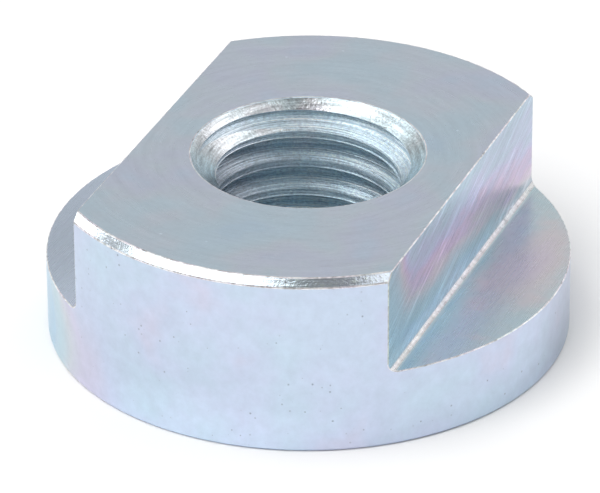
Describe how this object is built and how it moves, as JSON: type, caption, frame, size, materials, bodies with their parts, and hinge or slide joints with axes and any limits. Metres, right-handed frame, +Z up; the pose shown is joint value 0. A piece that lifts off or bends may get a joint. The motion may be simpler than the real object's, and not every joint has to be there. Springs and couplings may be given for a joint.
{
  "type": "wedge nut",
  "caption": "Round steel slot nut: a tongue with parallel milled flats stands above a full round flange, with a countersunk tapped hole through the middle.",
  "frame": {"origin": "centre of the underside, on the thread's axis", "axes": "+Z up along the thread from the flange to the tongue, +Y along the tongue's flats, +X square to the flats"},
  "size_m": [0.024, 0.024, 0.0087],
  "materials": {
    "zinc_plate": "satin zinc plating with a clear blue passivation, faint iridescent clouds, turning and milling marks"
  },
  "bodies": {
    "root": {"wedge_nut": "zinc_plate"}
  },
  "joints": []
}
